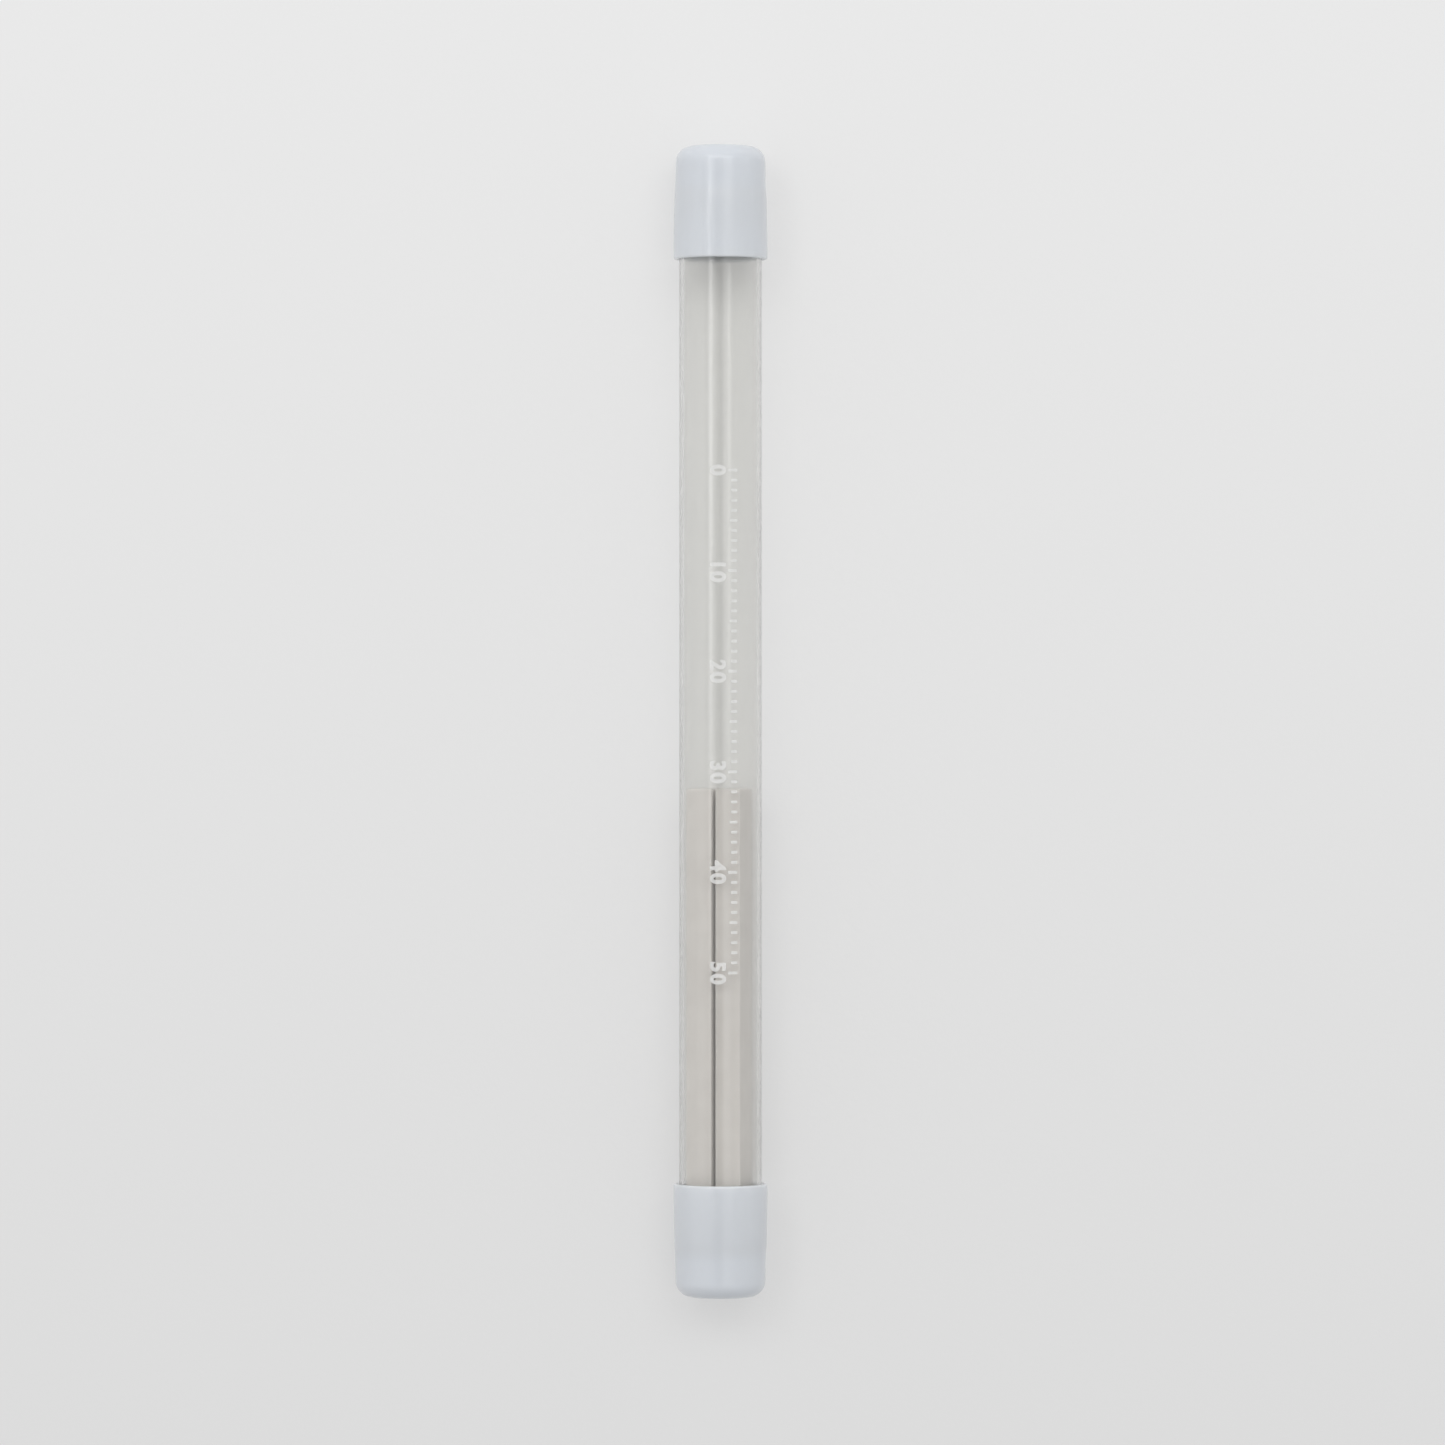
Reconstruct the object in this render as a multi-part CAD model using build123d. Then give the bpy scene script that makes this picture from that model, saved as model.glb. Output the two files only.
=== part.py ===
from build123d import *
import math
import os

# A capped plastic tube holding two rectangular eraser sticks, lying on its side.
# Millimetres, +Z up. The tube's axis runs along Y, and the origin is on the surface that
# the caps lie on, below the middle of the tube.

# Eraser sticks, side by side in the tube
stick_thickness = 2.5
stick_width = 5.0
stick_length = 49.3
stick_gap = 0.4
stick_long_edge_round = 0.12

# Tube, whose bore passes the corners of the pair of sticks
tube_length = 106.0
tube_wall = 0.40
tube_bore_clearance = 0.045
tube_edge_round = 0.08

# Caps, one over each end of the tube. Lengths run along the axis, walls across it.
cap_grip_depth = 6.8
cap_recess_depth = 3.3
cap_end_wall = 1.2
cap_fit_clearance = 0.05
cap_band_wall = 0.525
cap_band_length = 1.9
cap_shoulder_wall = 0.465
cap_swell_over_tube = 1.4
cap_swell_past_tube = 0.9
cap_crown_wall = 0.8
cap_crown_draft = 0.05
cap_crown_round = 1.6
cap_recess_round = 0.3
cap_lip_round = 0.2
cap_lead_in = 0.2

# Moulding mark in the middle of each cap's closed end
dimple_diameter = 2.4
dimple_depth = 0.3
dimple_floor_round = 0.1
gate_diameter = 0.8
gate_height = 0.2

# How far the part has rolled about its axis, from the sticks' thickness lying level
rolled_degrees = 16.6

# Radii from the tube's axis
pair_half_width = stick_thickness + stick_gap / 2
pair_corner_radius = math.hypot(pair_half_width, stick_width / 2)
tube_bore_radius = pair_corner_radius + tube_bore_clearance
tube_outer_radius = tube_bore_radius + tube_wall
skirt_bore_radius = tube_outer_radius + cap_fit_clearance
band_radius = skirt_bore_radius + cap_band_wall
shoulder_radius = skirt_bore_radius + cap_shoulder_wall
crown_radius = tube_bore_radius + cap_crown_wall

# Places along the tube's axis, counted from the middle of the tube
tube_end = tube_length / 2
cap_mouth = tube_end - cap_grip_depth
band_end = cap_mouth + cap_band_length
swell_start = tube_end - cap_swell_over_tube
swell_end = tube_end + cap_swell_past_tube
recess_wall = tube_end + cap_recess_depth
cap_face = recess_wall + cap_end_wall

# The caps' bands are the widest thing on the part, so it lies on them
axis_height = band_radius


def turned_about_axis(half_section):
    """Spin a half section, drawn with its radius along X and its length along Y."""
    return revolve(half_section, axis=Axis.Y, revolution_arc=360)


def corner_at(section, place):
    """Find the corner of a half section that lies at a place."""
    return section.vertices().sort_by_distance(Vector(*place))[0]


def make_tube():
    """A straight open tube with its cut ends lightly broken."""
    corners = [
        (tube_bore_radius, -tube_end),
        (tube_outer_radius, -tube_end),
        (tube_outer_radius, tube_end),
        (tube_bore_radius, tube_end),
    ]
    section = make_face(Polyline(*corners, close=True))
    section = fillet(section.vertices(), tube_edge_round)
    return turned_about_axis(section)


def make_upper_cap():
    """A push-on cap, with a wide band at its mouth, a swell over the tube's end and a crown.

    Inside, the skirt's bore fits over the tube, a shoulder stops the tube's end, and the
    recess beyond the shoulder is flush with the tube's bore, so the sticks slide past it.
    """
    lip_inside = (skirt_bore_radius, cap_mouth)
    lip_outside = (band_radius, cap_mouth)
    shoulder = (shoulder_radius, swell_start)
    crown_start = (crown_radius, swell_end)
    crown_rim = (crown_radius - cap_crown_draft, cap_face)
    recess_corner = (tube_bore_radius, recess_wall)

    band = Line(lip_outside, (band_radius, band_end))
    flare = Line(band @ 1, shoulder)
    crown = Line(crown_start, crown_rim)
    swell = Spline(shoulder, crown_start, tangents=(flare % 1, crown % 0))
    inside = Polyline(
        crown_rim,
        (0, cap_face),
        (0, recess_wall),
        recess_corner,
        (tube_bore_radius, tube_end),
        (skirt_bore_radius, tube_end),
        lip_inside,
        lip_outside,
    )
    section = make_face([band, flare, swell, crown, *inside.edges()])
    section = fillet(corner_at(section, crown_rim), cap_crown_round)
    section = fillet(corner_at(section, recess_corner), cap_recess_round)
    section = fillet(corner_at(section, lip_outside), cap_lip_round)
    section = chamfer(corner_at(section, lip_inside), cap_lead_in)
    return turned_about_axis(section) - make_moulding_mark()


def make_moulding_mark():
    """What is cut from a cap's closed end: a dimple round the nub that the gate left."""
    dimple_radius = dimple_diameter / 2
    gate_radius = gate_diameter / 2
    dimple_floor = cap_face - dimple_depth
    gate_top = dimple_floor + gate_height
    floor_corner = (dimple_radius, dimple_floor)
    outline = Polyline(
        (0, cap_face),
        (0, gate_top),
        (gate_radius, gate_top),
        (gate_radius, dimple_floor),
        floor_corner,
        (dimple_radius, cap_face),
        close=True,
    )
    section = make_face(outline)
    section = fillet(corner_at(section, floor_corner), dimple_floor_round)
    return turned_about_axis(section)


def make_stick(side):
    """One eraser stick, to the left (side -1) or right (side +1) of the tube's axis.

    Its square lower end stops at the round in the bottom of the lower cap's recess.
    """
    section = RectangleRounded(stick_thickness, stick_width, stick_long_edge_round)
    stick = extrude(Plane.XZ * section, stick_length, dir=(0, 1, 0))
    centre_offset = side * (stick_thickness + stick_gap) / 2
    lower_end = cap_recess_round - recess_wall
    return Pos(centre_offset, lower_end, 0) * stick


upper_cap = make_upper_cap()
nodes = {
    "tube": make_tube(),
    "top_cap": upper_cap,
    "bottom_cap": Rot(0, 0, 180) * upper_cap,
    "left_stick": make_stick(-1),
    "right_stick": make_stick(1),
}

os.makedirs("parts", exist_ok=True)
as_it_lies = Pos(0, 0, axis_height) * Rot(0, -rolled_degrees, 0)
for name, shape in nodes.items():
    export_step(as_it_lies * shape, f"parts/{name}.step")

print(f"overall length {2 * cap_face:.2f} mm, band {2 * band_radius:.2f} mm across")
print(f"tube {2 * tube_outer_radius:.2f} mm outside, {2 * tube_bore_radius:.2f} mm bore")
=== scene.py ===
"""The looks of a capped plastic tube of eraser sticks, lying on pale paper.

The part's sizes are in millimetres, as in its source, and become metres where a mesh is made.
The studio's are in metres. The tube's axis runs along Y, above the origin, and the caps' bands
touch the paper.
"""

import logging
import math
from collections.abc import Callable
from dataclasses import dataclass
from enum import Enum

import bpy
from mathutils import Matrix, Vector


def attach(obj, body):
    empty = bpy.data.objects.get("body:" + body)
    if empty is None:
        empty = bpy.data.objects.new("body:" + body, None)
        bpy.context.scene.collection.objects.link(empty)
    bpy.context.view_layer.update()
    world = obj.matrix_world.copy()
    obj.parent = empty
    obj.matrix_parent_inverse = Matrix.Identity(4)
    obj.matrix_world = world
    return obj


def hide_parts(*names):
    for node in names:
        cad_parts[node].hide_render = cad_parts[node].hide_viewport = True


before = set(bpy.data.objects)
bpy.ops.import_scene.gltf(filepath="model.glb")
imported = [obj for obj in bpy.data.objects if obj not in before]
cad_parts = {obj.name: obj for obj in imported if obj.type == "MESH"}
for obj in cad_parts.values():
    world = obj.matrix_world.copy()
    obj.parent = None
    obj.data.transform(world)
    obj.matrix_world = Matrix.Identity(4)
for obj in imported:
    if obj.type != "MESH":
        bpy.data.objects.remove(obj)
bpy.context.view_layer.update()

log = logging.getLogger("eraser_tube")

MM = 0.001

# Closer than this, in metres, points are one point
WELD = 1e-7
# The same where a spun mesh meets itself, whose points are less exact
SEAM_WELD = 2e-7
# Closer than this to a plane, in metres, a point lies in it
IN_PLANE = 1e-6
# The levels that most of a soft noise lies between
NOISE_REACH = (0.35, 0.65)
WIDE_NOISE_REACH = (0.3, 0.7)

Point = tuple[float, float]
Span = tuple[float, float]
Colour = tuple[float, float, float]
Stretch = tuple[float, float, float]


class MeshPart(Enum):
    """What a selection in edit mode is made of."""

    VERTICES = "VERT"
    EDGES = "EDGE"
    FACES = "FACE"


class End(Enum):
    """The two ends of the tube, each with its direction along Y."""

    TOP = 1
    BOTTOM = -1


class Side(Enum):
    """The two sides of the tube's axis, each with its direction along X."""

    LEFT = -1
    RIGHT = 1


# Modelling by operators


def rest_all() -> None:
    """Leave edit mode and deselect every object."""
    if bpy.context.mode != "OBJECT":
        bpy.ops.object.mode_set(mode="OBJECT")
    bpy.ops.object.select_all(action="DESELECT")


def pick_out(obj: bpy.types.Object) -> None:
    """Select one object alone and make it the active one."""
    rest_all()
    obj.select_set(True)
    bpy.context.view_layer.objects.active = obj


def settle(obj: bpy.types.Object) -> None:
    """Put an object's place, turn and scale into its mesh."""
    pick_out(obj)
    bpy.ops.object.transform_apply(location=True, rotation=True, scale=True)


def named(name: str) -> bpy.types.Object:
    """Name the object that was just added, and its data."""
    obj = bpy.context.active_object
    obj.name = name
    obj.data.name = name
    return obj


def select_where(
    obj: bpy.types.Object, part: MeshPart, test: Callable[[list[Vector]], bool]
) -> None:
    """Open an object's mesh with only some of its edges or faces selected.

    Args:
        obj: The object, with its place in its mesh.
        part: Whether edges or faces are chosen.
        test: Takes the corners of one part and says whether it is chosen.
    """
    pick_out(obj)
    bpy.ops.object.mode_set(mode="EDIT")
    bpy.ops.mesh.select_mode(type=part.value)
    bpy.ops.mesh.select_all(action="DESELECT")
    bpy.ops.object.mode_set(mode="OBJECT")
    mesh = obj.data
    for element in mesh.edges if part is MeshPart.EDGES else mesh.polygons:
        element.select = test([mesh.vertices[v].co for v in element.vertices])
    bpy.ops.object.mode_set(mode="EDIT")


def slice_across(obj: bpy.types.Object, normal: Vector, places: list[float]) -> None:
    """Cut new edges into a mesh where evenly placed planes cross it.

    Args:
        obj: The object, with its place in its mesh.
        normal: The planes' normal, of length 1.
        places: Each plane's distance from the origin along the normal, in metres.
    """
    pick_out(obj)
    bpy.ops.object.mode_set(mode="EDIT")
    for place in places:
        bpy.ops.mesh.select_all(action="SELECT")
        bpy.ops.mesh.bisect(plane_co=normal * place, plane_no=normal, threshold=WELD)
    bpy.ops.object.mode_set(mode="OBJECT")


def turn_mesh(
    obj: bpy.types.Object, angle: float, about: str, centre: tuple[float, float, float]
) -> None:
    """Turn an object's whole mesh and leave the object itself unturned.

    Args:
        obj: The object, with its place in its mesh.
        angle: How far it turns, in radians.
        about: The direction of the line that it turns about, X, Y or Z.
        centre: A point on that line, in metres.
    """
    pick_out(obj)
    bpy.ops.object.mode_set(mode="EDIT")
    bpy.ops.mesh.select_mode(type=MeshPart.VERTICES.value)
    bpy.ops.mesh.select_all(action="SELECT")
    bpy.ops.transform.rotate(value=angle, orient_axis=about, center_override=centre)
    bpy.ops.object.mode_set(mode="OBJECT")


def smooth_by_angle(obj: bpy.types.Object, degrees: float) -> None:
    """Shade an object smooth, except across edges sharper than an angle."""
    pick_out(obj)
    bpy.ops.object.shade_smooth_by_angle(angle=math.radians(degrees))


def apply_modifiers(obj: bpy.types.Object) -> None:
    """Apply an object's modifiers in order."""
    pick_out(obj)
    for modifier in list(obj.modifiers):
        bpy.ops.object.modifier_apply(modifier=modifier.name)


def evenly(low: float, high: float, parts: int) -> list[float]:
    """Divide a length into equal parts, and give the places between them."""
    return [low + (high - low) * i / parts for i in range(1, parts)]


def rounded_outline(corners: list[tuple[float, float, float]], steps: int) -> list[Point]:
    """Round the corners of an open outline.

    Args:
        corners: Radius, place along the axis and rounding of each corner.
        steps: The number of short lines that each round is made of.

    Returns:
        The outline's points, in order.
    """
    points: list[Point] = []
    for i, (radius, place, rounding) in enumerate(corners):
        if rounding == 0:
            points.append((radius, place))
            continue
        corner = Vector((radius, place))
        before = (Vector(corners[i - 1][:2]) - corner).normalized()
        after = (Vector(corners[i + 1][:2]) - corner).normalized()
        half = before.angle(after) / 2
        centre = corner + (before + after).normalized() * (rounding / math.sin(half))
        start = corner + before * (rounding / math.tan(half)) - centre
        end = corner + after * (rounding / math.tan(half)) - centre
        sweep = start.angle(end)
        for step in range(steps + 1):
            share = step / steps
            mixed = start * math.sin((1 - share) * sweep) + end * math.sin(share * sweep)
            points.append(tuple(centre + mixed / math.sin(sweep)))
    return points


def swell_outline(
    start: Point, end: Point, leaves: Point, arrives: Point, pull: float, steps: int
) -> list[Point]:
    """A smooth curve between two places, following a direction at each.

    Args:
        start: Where the curve starts.
        end: Where it ends.
        leaves: A point on the line that it leaves along.
        arrives: A point on the line that it arrives along.
        pull: How far each end's direction reaches into the curve.
        steps: The number of short lines that it is made of.

    Returns:
        The points between start and end.
    """
    first, last = Vector(start), Vector(end)
    out = (first - Vector(leaves)).normalized() * pull
    into = (Vector(arrives) - last).normalized() * pull
    points: list[Point] = []
    for step in range(1, steps):
        t = step / steps
        points.append(
            tuple(
                first * (2 * t**3 - 3 * t**2 + 1)
                + out * (t**3 - 2 * t**2 + t)
                + last * (3 * t**2 - 2 * t**3)
                + into * (t**3 - t**2)
            )
        )
    return points


def turn_on_lathe(
    name: str, outline: list[Point], steps: int, axis_height: float
) -> bpy.types.Object:
    """Draw a half section vertex by vertex and spin it about the tube's axis.

    Args:
        name: The new piece's name.
        outline: Radius and place along the axis of each point, in millimetres. It starts
            and ends on the axis, or ends where it starts.
        steps: The number of faces round the axis.
        axis_height: The axis's height in millimetres.

    Returns:
        The turned piece, a closed shell with its place in its mesh.
    """
    rest_all()
    bpy.ops.mesh.primitive_plane_add(size=MM, location=(0, 0, axis_height * MM))
    obj = named(name)
    settle(obj)
    bpy.ops.object.mode_set(mode="EDIT")
    bpy.ops.mesh.select_mode(type=MeshPart.VERTICES.value)
    bpy.ops.mesh.select_all(action="SELECT")
    bpy.ops.mesh.merge(type="CENTER")
    bpy.ops.transform.translate(value=(outline[0][0] * MM, outline[0][1] * MM, 0))
    for (radius, place), (next_radius, next_place) in zip(outline, outline[1:]):
        step = ((next_radius - radius) * MM, (next_place - place) * MM, 0)
        bpy.ops.mesh.extrude_region_move(TRANSFORM_OT_translate={"value": step})
    bpy.ops.mesh.select_all(action="SELECT")
    bpy.ops.mesh.remove_doubles(threshold=WELD)
    bpy.ops.mesh.spin(
        steps=steps,
        dupli=False,
        angle=2 * math.pi,
        center=(0, 0, axis_height * MM),
        axis=(0, 1, 0),
    )
    bpy.ops.mesh.select_all(action="SELECT")
    bpy.ops.mesh.remove_doubles(threshold=SEAM_WELD)
    bpy.ops.mesh.normals_make_consistent(inside=False)
    bpy.ops.object.mode_set(mode="OBJECT")
    return obj


# Materials


@dataclass(frozen=True)
class Pattern:
    """A soft noise: features to a metre, layers of detail and their strength, and stretch."""

    scale: float
    detail: float
    roughness: float = 0.5
    stretch: Stretch = (1, 1, 1)


class NodeSheet:
    """The nodes of a material or of the room's light, added one after another."""

    def __init__(self, tree: bpy.types.NodeTree) -> None:
        """Start with no more than the tree's own output.

        Args:
            tree: The node tree of a new material or world.
        """
        self.tree = tree
        for node in list(tree.nodes):
            if not node.bl_idname.startswith("ShaderNodeOutput"):
                tree.nodes.remove(node)

    def add(
        self, kind: str, inputs: dict[str | int, object], **settings: object
    ) -> bpy.types.Node:
        """Add a node.

        Args:
            kind: The node's type.
            inputs: What each input gets, by name or place: a socket or a plain value.
            settings: The node's own options.

        Returns:
            The new node.
        """
        node = self.tree.nodes.new(kind)
        for option, value in settings.items():
            setattr(node, option, value)
        for key, value in inputs.items():
            if isinstance(value, bpy.types.NodeSocket):
                self.tree.links.new(value, node.inputs[key])
            else:
                node.inputs[key].default_value = value
        return node

    def place(self, stretch: Stretch = (1, 1, 1)) -> bpy.types.NodeSocket:
        """Object coordinates, stretched for a pattern."""
        coordinates = self.add("ShaderNodeTexCoord", {}).outputs["Object"]
        inputs = {"Vector": coordinates, "Scale": stretch}
        return self.add("ShaderNodeMapping", inputs).outputs["Vector"]

    def noise(self, pattern: Pattern) -> bpy.types.NodeSocket:
        """Soft noise over the piece."""
        inputs = {
            "Vector": self.place(pattern.stretch),
            "Scale": pattern.scale,
            "Detail": pattern.detail,
            "Roughness": pattern.roughness,
        }
        return self.add("ShaderNodeTexNoise", inputs).outputs["Fac"]

    def ranged(
        self, value: bpy.types.NodeSocket, reads: Span, gives: Span
    ) -> bpy.types.NodeSocket:
        """Map one range of a value to another, and hold it there."""
        inputs = {
            "Value": value,
            "From Min": reads[0],
            "From Max": reads[1],
            "To Min": gives[0],
            "To Max": gives[1],
        }
        return self.add("ShaderNodeMapRange", inputs).outputs["Result"]

    def blended(
        self, share: bpy.types.NodeSocket, first: Colour, second: Colour
    ) -> bpy.types.NodeSocket:
        """Blend two colours by a share."""
        inputs = {0: share, 6: (*first, 1), 7: (*second, 1)}
        return self.add("ShaderNodeMix", inputs, data_type="RGBA").outputs[2]

    def maths(
        self,
        operation: str,
        first: bpy.types.NodeSocket,
        second: bpy.types.NodeSocket | float,
    ) -> bpy.types.NodeSocket:
        """Combine two values by one operation."""
        inputs = {0: first, 1: second}
        return self.add("ShaderNodeMath", inputs, operation=operation).outputs[0]

    def relief(
        self,
        height: bpy.types.NodeSocket,
        depth: float,
        over: bpy.types.NodeSocket | None = None,
    ) -> bpy.types.NodeSocket:
        """Turn a height into a bumped normal.

        Args:
            height: The height, from 0 to 1.
            depth: How deep the relief is, in millimetres.
            over: A normal that this relief lies on.

        Returns:
            The bumped normal.
        """
        inputs: dict[str | int, object] = {
            "Strength": 1.0,
            "Distance": depth * MM,
            "Height": height,
        }
        if over is not None:
            inputs["Normal"] = over
        return self.add("ShaderNodeBump", inputs).outputs["Normal"]

    def show(self, shader: bpy.types.NodeSocket) -> None:
        """Lead a shader to the tree's output."""
        self.tree.links.new(shader, self.tree.nodes[0].inputs["Surface"])


class MaterialSheet(NodeSheet):
    """The nodes of one material."""

    def __init__(self, name: str) -> None:
        """Start an empty material.

        Args:
            name: The material's name.
        """
        self.material = bpy.data.materials.new(name)
        self.material.use_nodes = True
        super().__init__(self.material.node_tree)

    def finish(self, shader: bpy.types.NodeSocket) -> bpy.types.Material:
        """Show a shader on the surface and give back the material."""
        self.show(shader)
        return self.material


@dataclass(frozen=True)
class FrostedTubePlastic:
    """Thin extruded plastic, see-through and lightly frosted, with faint draw lines."""

    tint: Colour = (0.922, 0.92, 0.906)
    clarity: float = 0.965
    roughness: Span = (0.11, 0.15)
    refraction: float = 1.49
    lamp_tint: Colour = (0.925, 0.925, 0.92)
    lines: Pattern = Pattern(900, 3, stretch=(1, 0.02, 1))
    line_depth: float = 0.0015
    clouds: Pattern = Pattern(260, 3, stretch=(1, 0.25, 1))
    frost: Pattern = Pattern(9000, 2)
    frost_depth: float = 0.0003

    def material(self) -> bpy.types.Material:
        """Make the material."""
        sheet = MaterialSheet("frosted_tube_plastic")
        rough = sheet.ranged(sheet.noise(self.clouds), NOISE_REACH, self.roughness)
        relief = sheet.relief(sheet.noise(self.lines), self.line_depth)
        relief = sheet.relief(sheet.noise(self.frost), self.frost_depth, relief)
        plastic = sheet.add(
            "ShaderNodeBsdfPrincipled",
            {
                "Base Color": (*self.tint, 1),
                "Roughness": rough,
                "IOR": self.refraction,
                "Transmission Weight": self.clarity,
                "Normal": relief,
            },
        )
        for_lamps = sheet.add("ShaderNodeBsdfTransparent", {"Color": (*self.lamp_tint, 1)})
        rays = sheet.add("ShaderNodeLightPath", {}).outputs
        through = sheet.maths("MAXIMUM", rays["Is Shadow Ray"], rays["Is Diffuse Ray"])
        shown = sheet.add(
            "ShaderNodeMixShader", {0: through, 1: plastic.outputs[0], 2: for_lamps.outputs[0]}
        )
        return sheet.finish(shown.outputs[0])


@dataclass(frozen=True)
class SatinCapPlastic:
    """Soft pale blue-grey moulded plastic with a smooth satin skin."""

    pale: Colour = (0.65, 0.68, 0.723)
    deep: Colour = (0.643, 0.673, 0.716)
    mottle: Pattern = Pattern(240, 2)
    roughness: Span = (0.29, 0.31)
    wear: Pattern = Pattern(500, 2)
    skin: Pattern = Pattern(4200, 2)
    skin_depth: float = 0.0004
    refraction: float = 1.5
    shine: float = 0.3
    polish: float = 0.5
    polish_roughness: float = 0.12
    glow: float = 0.7
    glow_depth: float = 1.5

    def material(self) -> bpy.types.Material:
        """Make the material."""
        sheet = MaterialSheet("satin_cap_plastic")
        mottle = sheet.ranged(sheet.noise(self.mottle), WIDE_NOISE_REACH, (0, 1))
        rough = sheet.ranged(sheet.noise(self.wear), NOISE_REACH, self.roughness)
        plastic = sheet.add(
            "ShaderNodeBsdfPrincipled",
            {
                "Base Color": sheet.blended(mottle, self.deep, self.pale),
                "Roughness": rough,
                "IOR": self.refraction,
                "Specular IOR Level": self.shine,
                "Subsurface Weight": self.glow,
                "Subsurface Radius": (1, 1, 1),
                "Subsurface Scale": self.glow_depth * MM,
                "Coat Weight": self.polish,
                "Coat Roughness": self.polish_roughness,
                "Normal": sheet.relief(sheet.noise(self.skin), self.skin_depth),
            },
        )
        return sheet.finish(plastic.outputs[0])


@dataclass(frozen=True)
class EraserCompound:
    """Matte warm white eraser compound, sliced from a sheet."""

    pale: Colour = (0.705, 0.675, 0.648)
    deep: Colour = (0.675, 0.645, 0.619)
    mottle: Pattern = Pattern(500, 5)
    roughness: Span = (0.62, 0.78)
    grain: Pattern = Pattern(7000, 3)
    grain_depth: float = 0.006
    slices: Pattern = Pattern(2600, 3, stretch=(1, 0.05, 1))
    slice_depth: float = 0.008
    refraction: float = 1.5
    shine: float = 0.3
    glow: float = 0.3
    glow_depth: float = 0.6

    def material(self) -> bpy.types.Material:
        """Make the material."""
        sheet = MaterialSheet("eraser_compound")
        mottle = sheet.ranged(sheet.noise(self.mottle), NOISE_REACH, (0, 1))
        grain = sheet.noise(self.grain)
        rough = sheet.ranged(grain, NOISE_REACH, self.roughness)
        relief = sheet.relief(sheet.noise(self.slices), self.slice_depth)
        relief = sheet.relief(grain, self.grain_depth, relief)
        compound = sheet.add(
            "ShaderNodeBsdfPrincipled",
            {
                "Base Color": sheet.blended(mottle, self.deep, self.pale),
                "Roughness": rough,
                "IOR": self.refraction,
                "Specular IOR Level": self.shine,
                "Subsurface Weight": self.glow,
                "Subsurface Radius": (1, 1, 1),
                "Subsurface Scale": self.glow_depth * MM,
                "Normal": relief,
            },
        )
        return sheet.finish(compound.outputs[0])


@dataclass(frozen=True)
class ScaleInk:
    """A thin film of white printing ink, slightly worn."""

    colour: Colour = (0.86, 0.86, 0.85)
    wear: Pattern = Pattern(3500, 4, roughness=0.6)
    wear_depth: float = 0.001
    roughness: Span = (0.35, 0.5)
    cover: Span = (0.46, 0.56)

    def material(self) -> bpy.types.Material:
        """Make the material."""
        sheet = MaterialSheet("scale_ink")
        wear = sheet.noise(self.wear)
        ink = sheet.add(
            "ShaderNodeBsdfPrincipled",
            {
                "Base Color": (*self.colour, 1),
                "Roughness": sheet.ranged(wear, NOISE_REACH, self.roughness),
                "Alpha": sheet.ranged(wear, WIDE_NOISE_REACH, self.cover),
                "Normal": sheet.relief(wear, self.wear_depth),
            },
        )
        return sheet.finish(ink.outputs[0])


@dataclass(frozen=True)
class PalePaper:
    """Smooth pale paper with a faint tooth, whose colour is darker towards one end: a painted
    light falloff.

    A share of what is seen of it is its plain colour, so that shadows on it stay light. The
    share is smaller where it is seen through the tube.
    """

    # Painted light falloff: upper is the colour at the end the lamps lean towards, and lower is
    # the far end, painted darker as if less lit
    upper: Colour = (0.82, 0.82, 0.82)
    lower: Colour = (0.73, 0.73, 0.73)
    shaded_length: float = 150.0
    plain_share: float = 0.65
    plain_share_through: float = 0.3
    plain_strength: float = 1.0
    roughness: float = 0.9
    shine: float = 0.1
    tooth: Pattern = Pattern(1500, 5, roughness=0.6)
    tooth_depth: float = 0.02

    def material(self) -> bpy.types.Material:
        """Make the material."""
        sheet = MaterialSheet("pale_paper")
        along = sheet.add("ShaderNodeSeparateXYZ", {0: sheet.place()}).outputs["Y"]
        half = self.shaded_length / 2 * MM
        # The colour runs from lower to upper along Y: a painted light falloff, lighter towards
        # the lamps
        colour = sheet.blended(sheet.ranged(along, (-half, half), (0, 1)), self.lower, self.upper)
        paper = sheet.add(
            "ShaderNodeBsdfPrincipled",
            {
                "Base Color": colour,
                "Roughness": self.roughness,
                "Specular IOR Level": self.shine,
                "Normal": sheet.relief(sheet.noise(self.tooth), self.tooth_depth),
            },
        )
        # The plain colour carries the same painted light falloff
        plain = sheet.add("ShaderNodeEmission", {0: colour, 1: self.plain_strength})
        rays = sheet.add("ShaderNodeLightPath", {}).outputs
        seen = sheet.maths("MAXIMUM", rays["Is Camera Ray"], rays["Is Glossy Ray"])
        seen = sheet.maths("MAXIMUM", seen, rays["Is Transmission Ray"])
        shares = (self.plain_share, self.plain_share_through)
        share = sheet.ranged(rays["Is Transmission Ray"], (0, 1), shares)
        share = sheet.maths("MULTIPLY", seen, share)
        shown = sheet.add(
            "ShaderNodeMixShader", {0: share, 1: paper.outputs[0], 2: plain.outputs[0]}
        )
        return sheet.finish(shown.outputs[0])


# The part's pieces


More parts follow.
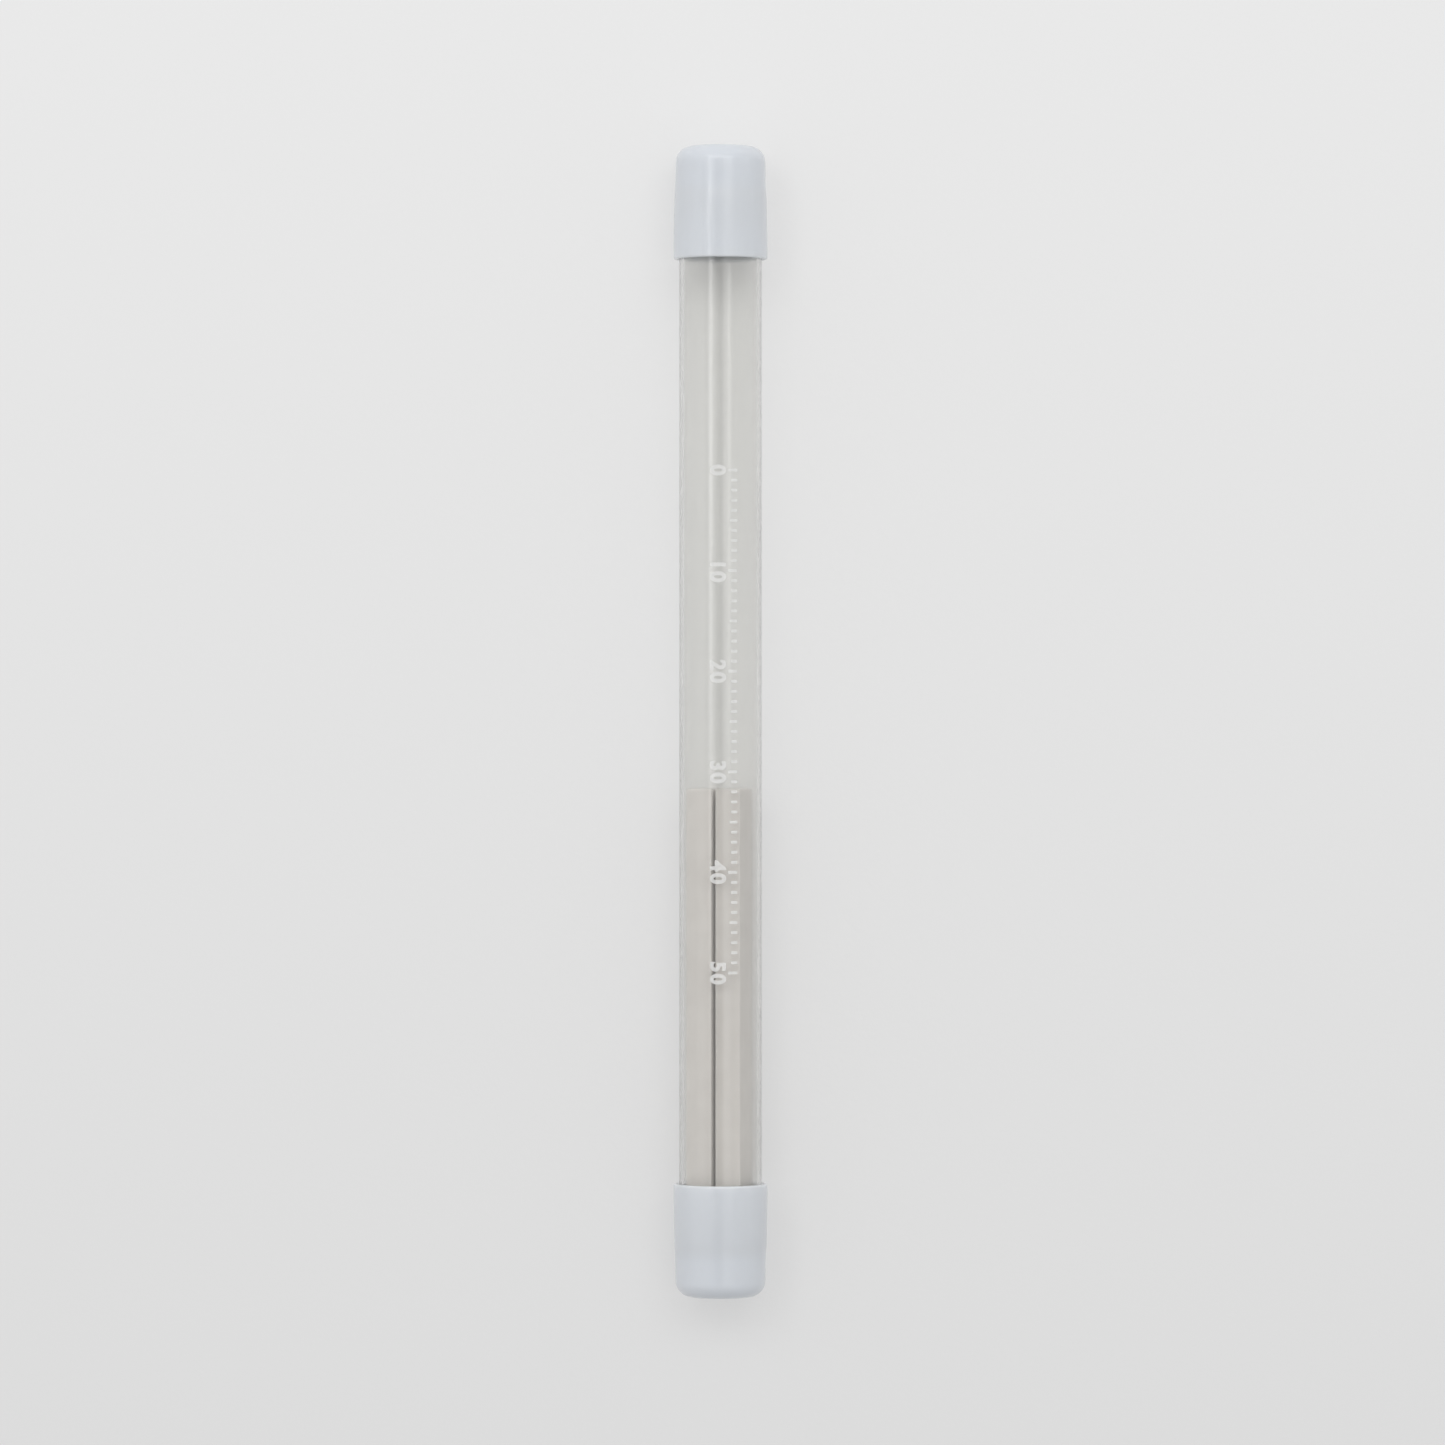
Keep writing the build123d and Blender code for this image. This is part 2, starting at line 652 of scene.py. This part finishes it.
@dataclass
class Fit:
    """The sizes that the tube, the caps and the sticks share."""

    stick_thickness: float = 2.5
    stick_width: float = 5.0
    stick_gap: float = 0.4
    bore_clearance: float = 0.045
    tube_wall: float = 0.4
    tube_length: float = 106.0
    cap_clearance: float = 0.05
    cap_band_wall: float = 0.525
    recess_depth: float = 3.3
    rolled_degrees: float = 16.6

    @property
    def bore_radius(self) -> float:
        """The tube's inner radius, just past the corners of the pair of sticks."""
        half_pair = self.stick_thickness + self.stick_gap / 2
        return math.hypot(half_pair, self.stick_width / 2) + self.bore_clearance

    @property
    def outer_radius(self) -> float:
        """The tube's outer radius."""
        return self.bore_radius + self.tube_wall

    @property
    def skirt_radius(self) -> float:
        """The radius of a cap's bore round the tube."""
        return self.outer_radius + self.cap_clearance

    @property
    def axis_height(self) -> float:
        """The axis's height, which is the radius of the caps' bands."""
        return self.skirt_radius + self.cap_band_wall

    @property
    def tube_end(self) -> float:
        """The place of the tube's end along its axis."""
        return self.tube_length / 2

    @property
    def recess_wall(self) -> float:
        """The place of the wall inside a cap's closed end."""
        return self.tube_end + self.recess_depth


@dataclass
class Tube:
    """The see-through tube, open at both ends."""

    fit: Fit
    edge_round: float = 0.08
    edge_steps: int = 4
    rings: int = 40
    steps: int = 160
    sharp_degrees: float = 50.0

    def build(self) -> bpy.types.Object:
        """Turn the tube from its wall's section, with rings along its length."""
        inner, outer, end = self.fit.bore_radius, self.fit.outer_radius, self.fit.tube_end
        places = evenly(-end, end, self.rings)
        corners = [(inner, 0, 0)]
        corners += [(inner, place, 0) for place in reversed(places) if place < 0]
        corners += [(inner, -end, self.edge_round), (outer, -end, self.edge_round)]
        corners += [(outer, place, 0) for place in places]
        corners += [(outer, end, self.edge_round), (inner, end, self.edge_round)]
        corners += [(inner, place, 0) for place in reversed(places) if place > 0]
        corners += [(inner, 0, 0)]
        outline = rounded_outline(corners, self.edge_steps)
        obj = turn_on_lathe("clear_tube", outline, self.steps, self.fit.axis_height)
        smooth_by_angle(obj, self.sharp_degrees)
        return obj

    def dress(self, obj: bpy.types.Object, plastic: FrostedTubePlastic) -> None:
        """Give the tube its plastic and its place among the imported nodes."""
        obj.data.materials.append(plastic.material())
        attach(obj, "tube")
        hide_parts("tube")


@dataclass
class EndCaps:
    """The two push-on caps, alike, one over each end of the tube."""

    fit: Fit
    grip_depth: float = 6.8
    end_wall: float = 1.2
    band_length: float = 1.9
    shoulder_wall: float = 0.465
    swell_over_tube: float = 1.4
    swell_past_tube: float = 0.9
    swell_pull: float = 2.38
    crown_wall: float = 0.8
    crown_draft: float = 0.05
    crown_round: float = 1.6
    recess_round: float = 0.3
    lip_round: float = 0.2
    lead_in: float = 0.2
    dimple_radius: float = 1.2
    dimple_depth: float = 0.3
    dimple_round: float = 0.1
    gate_radius: float = 0.4
    gate_height: float = 0.2
    swell_steps: int = 14
    round_steps: int = 10
    steps: int = 160
    sharp_degrees: float = 30.0

    def outline(self) -> list[Point]:
        """A cap's half section, from the middle of its recess round to its moulding mark."""
        fit = self.fit
        mouth = fit.tube_end - self.grip_depth
        face = fit.recess_wall + self.end_wall
        band = fit.axis_height
        shoulder = (fit.skirt_radius + self.shoulder_wall, fit.tube_end - self.swell_over_tube)
        crown = (fit.bore_radius + self.crown_wall, fit.tube_end + self.swell_past_tube)
        band_end = (band, mouth + self.band_length)
        rim = (crown[0] - self.crown_draft, face)
        floor = face - self.dimple_depth
        swell = swell_outline(
            shoulder, crown, band_end, rim, self.swell_pull, self.swell_steps
        )
        corners = [
            (0, fit.recess_wall, 0),
            (fit.bore_radius, fit.recess_wall, self.recess_round),
            (fit.bore_radius, fit.tube_end, 0),
            (fit.skirt_radius, fit.tube_end, 0),
            (fit.skirt_radius, mouth + self.lead_in, 0),
            (fit.skirt_radius + self.lead_in, mouth, 0),
            (band, mouth, self.lip_round),
            (*band_end, 0),
            (*shoulder, 0),
            *[(*point, 0) for point in swell],
            (*crown, 0),
            (*rim, self.crown_round),
            (self.dimple_radius, face, 0),
            (self.dimple_radius, floor, self.dimple_round),
            (self.gate_radius, floor, 0),
            (self.gate_radius, floor + self.gate_height, 0),
            (0, floor + self.gate_height, 0),
        ]
        return rounded_outline(corners, self.round_steps)

    def build(self) -> dict[End, bpy.types.Object]:
        """Turn the top cap, then copy it and turn the copy end for end."""
        height = self.fit.axis_height
        top = turn_on_lathe("soft_cap_top", self.outline(), self.steps, height)
        smooth_by_angle(top, self.sharp_degrees)
        pick_out(top)
        bpy.ops.object.duplicate()
        bottom = named("soft_cap_bottom")
        turn_mesh(bottom, math.pi, "Z", (0, 0, height * MM))
        return {End.TOP: top, End.BOTTOM: bottom}

    def dress(self, caps: dict[End, bpy.types.Object], plastic: SatinCapPlastic) -> None:
        """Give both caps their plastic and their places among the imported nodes."""
        material = plastic.material()
        for end, obj in caps.items():
            node = f"{end.name.lower()}_cap"
            obj.data.materials.append(material)
            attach(obj, node)
            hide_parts(node)


@dataclass
class EraserSticks:
    """The two sliced eraser sticks, side by side in the lower half of the tube."""

    fit: Fit
    length: float = 49.3
    lower_end_clearance: float = 0.3
    long_edge_round: float = 0.12
    end_edge_round: float = 0.16
    edge_segments: int = 3
    squares_along: int = 80
    squares_across: int = 4
    squares_up: int = 8
    waviness: float = 0.03
    wave_size: float = 4.0
    sharp_degrees: float = 35.0

    def build(self, side: Side) -> bpy.types.Object:
        """Slice one stick, break its edges and leave its faces slightly uneven."""
        fit = self.fit
        start = self.lower_end_clearance - fit.recess_wall
        end = start + self.length
        offset = side.value * (fit.stick_thickness + fit.stick_gap) / 2
        rest_all()
        bpy.ops.mesh.primitive_cube_add(
            size=MM,
            location=(offset * MM, (start + end) / 2 * MM, fit.axis_height * MM),
            scale=(fit.stick_thickness, self.length, fit.stick_width),
        )
        obj = named(f"eraser_stick_{side.name.lower()}")
        settle(obj)
        select_where(
            obj,
            MeshPart.EDGES,
            lambda corners: abs(corners[0].y - corners[1].y) > self.length * MM / 2,
        )
        bpy.ops.mesh.bevel(offset=self.long_edge_round * MM, segments=self.edge_segments)
        ends = (start * MM, end * MM)
        select_where(
            obj,
            MeshPart.EDGES,
            lambda corners: any(all(abs(c.y - e) < IN_PLANE for c in corners) for e in ends),
        )
        bpy.ops.mesh.bevel(offset=self.end_edge_round * MM, segments=self.edge_segments)
        bpy.ops.object.mode_set(mode="OBJECT")
        self.divide(obj, offset, start, end)
        turn_mesh(obj, math.radians(fit.rolled_degrees), "Y", (0, 0, fit.axis_height * MM))
        self.unsettle(obj)
        smooth_by_angle(obj, self.sharp_degrees)
        return obj

    def divide(self, obj: bpy.types.Object, offset: float, start: float, end: float) -> None:
        """Cut a stick's faces into small squares, so that they can be uneven.

        Args:
            obj: The stick.
            offset: The place of its middle across the pair.
            start: The place of its lower end along the axis.
            end: The place of its upper end.
        """
        half, half_up = self.fit.stick_thickness / 2, self.fit.stick_width / 2
        middle = self.fit.axis_height
        along = evenly(start * MM, end * MM, self.squares_along)
        across = evenly((offset - half) * MM, (offset + half) * MM, self.squares_across)
        up = evenly((middle - half_up) * MM, (middle + half_up) * MM, self.squares_up)
        slice_across(obj, Vector((0, 1, 0)), along)
        slice_across(obj, Vector((1, 0, 0)), across)
        slice_across(obj, Vector((0, 0, 1)), up)

    def unsettle(self, obj: bpy.types.Object) -> None:
        """Move a stick's faces in and out by a few hundredths of a millimetre."""
        waves = bpy.data.textures.new("slice_waves", "CLOUDS")
        waves.noise_scale = self.wave_size * MM
        modifier = obj.modifiers.new("uneven", "DISPLACE")
        modifier.texture = waves
        modifier.texture_coords = "LOCAL"
        modifier.strength = self.waviness * MM
        modifier.mid_level = 0.5
        apply_modifiers(obj)

    def dress(self, sticks: dict[Side, bpy.types.Object], compound: EraserCompound) -> None:
        """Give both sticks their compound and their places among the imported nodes."""
        material = compound.material()
        for side, obj in sticks.items():
            node = f"{side.name.lower()}_stick"
            obj.data.materials.append(material)
            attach(obj, node)
            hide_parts(node)


@dataclass
class PrintedScale:
    """A plain scale of millimetres printed on the tube, with a number at every tenth."""

    fit: Fit
    start: float = 25.0
    marks: int = 50
    edge: float = 1.65
    short_mark: float = 0.6
    middle_mark: float = 0.75
    long_mark: float = 0.9
    mark_width: float = 0.28
    number_edge: float = -0.95
    number_height: float = 2.05
    number_weight: float = 0.09
    number_spacing: float = 1.2
    strips: int = 18
    hover: float = 1.0
    lift: float = 0.012
    film: float = 0.006
    sharp_degrees: float = 40.0

    def mark(self, index: int) -> bpy.types.Object:
        """Lay one mark flat above the tube."""
        length = self.short_mark
        if index % 5 == 0:
            length = self.long_mark if index % 10 == 0 else self.middle_mark
        rest_all()
        bpy.ops.mesh.primitive_plane_add(
            size=MM,
            location=((self.edge - length / 2) * MM, (self.start - index) * MM, 0),
        )
        obj = named("mark")
        obj.scale = (length, self.mark_width, 1)
        settle(obj)
        return obj

    def number(self, value: int) -> bpy.types.Object:
        """Write one number of millimetres, reading down the tube, beside its long mark."""
        rest_all()
        bpy.ops.object.text_add()
        obj = named("number")
        obj.data.body = str(value)
        obj.data.size = self.number_height * MM
        obj.data.align_x = "CENTER"
        obj.data.align_y = "BOTTOM_BASELINE"
        obj.data.offset = self.number_weight * MM
        obj.data.space_character = self.number_spacing
        pick_out(obj)
        bpy.ops.object.convert(target="MESH")
        obj = bpy.context.active_object
        obj.rotation_euler = (0, 0, -math.pi / 2)
        obj.location = (self.number_edge * MM, (self.start - value) * MM, 0)
        settle(obj)
        return obj

    def build(self, tube: bpy.types.Object) -> bpy.types.Object:
        """Join the marks and numbers and wrap them onto the tube.

        Args:
            tube: The tube's finished mesh.

        Returns:
            The scale, a thin closed film on the tube.
        """
        parts = [self.mark(index) for index in range(self.marks + 1)]
        parts += [self.number(value) for value in range(0, self.marks + 1, 10)]
        rest_all()
        for part in parts:
            part.select_set(True)
        bpy.context.view_layer.objects.active = parts[0]
        bpy.ops.object.join()
        obj = named("printed_scale")
        strips = evenly(self.number_edge * MM, self.edge * MM, self.strips)
        slice_across(obj, Vector((1, 0, 0)), strips)
        select_where(obj, MeshPart.FACES, lambda corners: True)
        bpy.ops.mesh.normals_make_consistent(inside=False)
        top = (self.fit.axis_height + self.fit.outer_radius + self.hover) * MM
        bpy.ops.transform.translate(value=(0, 0, top))
        bpy.ops.object.mode_set(mode="OBJECT")
        wrap = obj.modifiers.new("wrap", "SHRINKWRAP")
        wrap.target = tube
        wrap.wrap_method = "PROJECT"
        wrap.use_project_z = True
        wrap.use_negative_direction = True
        wrap.use_positive_direction = False
        wrap.offset = self.lift * MM
        film = obj.modifiers.new("film", "SOLIDIFY")
        film.thickness = self.film * MM
        film.offset = 1
        apply_modifiers(obj)
        smooth_by_angle(obj, self.sharp_degrees)
        return obj

    def dress(self, obj: bpy.types.Object, ink: ScaleInk) -> None:
        """Give the scale its ink and let it move with the tube."""
        obj.data.materials.append(ink.material())
        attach(obj, "tube")


# The studio


@dataclass(frozen=True)
class SoftLamp:
    """A soft rectangular lamp that looks at the middle of the part, its length along Y.

    It leans by some degrees from straight overhead. Its distance and sides are in metres, and
    its power is in watts.
    """

    name: str
    lean_right: float
    lean_up: float
    distance: float
    width: float
    length: float
    power: float

    def place(self, aim: Vector) -> None:
        """Hang the lamp.

        Args:
            aim: The point that it looks at, in metres.
        """
        away = Vector(
            (
                math.tan(math.radians(self.lean_right)),
                math.tan(math.radians(self.lean_up)),
                1,
            )
        ).normalized()
        data = bpy.data.lights.new(self.name, "AREA")
        data.shape = "RECTANGLE"
        data.size = self.width
        data.size_y = self.length
        data.energy = self.power
        lamp = bpy.data.objects.new(self.name, data)
        lamp.location = aim + away * self.distance
        across = Vector((0, 1, 0)).cross(away).normalized()
        turn = Matrix((across, away.cross(across), away)).transposed()
        lamp.rotation_euler = turn.to_euler()
        bpy.context.scene.collection.objects.link(lamp)


@dataclass
class Studio:
    """A pale sheet of paper, soft lamps overhead and a camera that looks straight down.

    Sizes are in metres, apart from the camera's sensor, which is in millimetres. The shade
    overhead is measured in degrees from straight up.
    """

    fit: Fit
    paper_width: float = 6.0
    camera_height: float = 0.7
    camera_right: float = 0.0002
    camera_up: float = -0.0001
    frame_width: float = 0.1445
    sensor: float = 36.0
    sees: Span = (0.01, 10.0)
    room_strength: float = 0.79
    shade_lean: float = -5.0
    shade_half_width: float = 10.0
    shade_half_length: float = 40.0
    shade_edge: Span = (0.75, 1.25)
    front_share: float = 0.4
    front_edge: Span = (-0.95, -0.25)
    lamps: tuple[SoftLamp, ...] = (
        SoftLamp("left_box", -28, 20, 1.4, 0.26, 0.94, 1.5),
        SoftLamp("right_box", 19, 0, 1.4, 0.45, 1.6, 0.95),
        SoftLamp("left_wall", -58, 5, 1.4, 0.6, 1.4, 0.65),
        SoftLamp("window", 0, 26, 0.8, 0.9, 0.3, 1.95),
    )

    def lay_paper(self, paper: PalePaper) -> None:
        """Lay the sheet of paper that the part rests on."""
        rest_all()
        bpy.ops.mesh.primitive_plane_add(size=self.paper_width, location=(0, 0, 0))
        obj = named("paper")
        settle(obj)
        obj.data.materials.append(paper.material())

    def hang_lamps(self) -> None:
        """Hang the lamps and fill the room with soft light."""
        aim = Vector((0, 0, self.fit.axis_height * MM))
        for lamp in self.lamps:
            lamp.place(aim)
        bpy.context.scene.world = self.soft_room()

    def soft_room(self) -> bpy.types.World:
        """Fill the room with soft light.

        Two parts of it are darker: overhead, where the camera's stand hangs, and low down
        in front of the part's lower end.
        """
        world = bpy.data.worlds.new("soft_room")
        world.use_nodes = True
        sheet = NodeSheet(world.node_tree)
        direction = sheet.add("ShaderNodeTexCoord", {}).outputs["Generated"]
        parts = sheet.add("ShaderNodeSeparateXYZ", {0: direction}).outputs
        reach: dict[str | int, object] = {}
        for axis, middle, half in (
            ("X", self.shade_lean, self.shade_half_width),
            ("Y", 0.0, self.shade_half_length),
        ):
            slope = sheet.maths("DIVIDE", parts[axis], parts["Z"])
            from_middle = sheet.maths("SUBTRACT", slope, math.tan(math.radians(middle)))
            reach[axis] = sheet.maths("DIVIDE", from_middle, math.tan(math.radians(half)))
        apart = sheet.add("ShaderNodeCombineXYZ", reach).outputs[0]
        distance = sheet.add("ShaderNodeVectorMath", {0: apart}, operation="LENGTH")
        overhead = sheet.ranged(distance.outputs["Value"], self.shade_edge, (0, 1))
        front = sheet.ranged(parts["Y"], self.front_edge, (self.front_share, 1))
        light = sheet.maths("MULTIPLY", overhead, front)
        strength = sheet.maths("MULTIPLY", light, self.room_strength)
        background = sheet.add(
            "ShaderNodeBackground", {"Color": (1, 1, 1, 1), "Strength": strength}
        )
        sheet.show(background.outputs[0])
        return world

    def set_camera(self) -> None:
        """Hang the camera over the part, at the photograph's distance."""
        data = bpy.data.cameras.new("camera")
        data.sensor_width = self.sensor
        data.lens = self.sensor * self.camera_height / self.frame_width
        data.clip_start, data.clip_end = self.sees
        camera = bpy.data.objects.new("camera", data)
        height = self.camera_height + self.fit.axis_height * MM
        camera.location = (self.camera_right, self.camera_up, height)
        bpy.context.scene.collection.objects.link(camera)
        bpy.context.scene.camera = camera
        bpy.context.scene.view_settings.view_transform = "Standard"


def report(obj: bpy.types.Object) -> None:
    """Log a piece's name and size."""
    size = ", ".join(f"{side / MM:.2f}" for side in obj.dimensions)
    log.info("%s: %s mm, %d faces", obj.name, size, len(obj.data.polygons))


def main() -> None:
    """Build the tube, the caps, the sticks and the printed scale, then the studio."""
    logging.basicConfig(level=logging.INFO, format="%(name)s: %(message)s")
    fit = Fit()

    tube = Tube(fit)
    tube_piece = tube.build()
    report(tube_piece)

    caps = EndCaps(fit)
    cap_pieces = caps.build()
    caps.dress(cap_pieces, SatinCapPlastic())
    for piece in cap_pieces.values():
        report(piece)

    sticks = EraserSticks(fit)
    stick_pieces = {side: sticks.build(side) for side in Side}
    sticks.dress(stick_pieces, EraserCompound())
    for piece in stick_pieces.values():
        report(piece)

    scale = PrintedScale(fit)
    scale_piece = scale.build(tube_piece)
    scale.dress(scale_piece, ScaleInk())
    report(scale_piece)
    tube.dress(tube_piece, FrostedTubePlastic())

    studio = Studio(fit)
    studio.lay_paper(PalePaper())
    studio.hang_lamps()
    studio.set_camera()


if __name__ == "__main__":
    main()
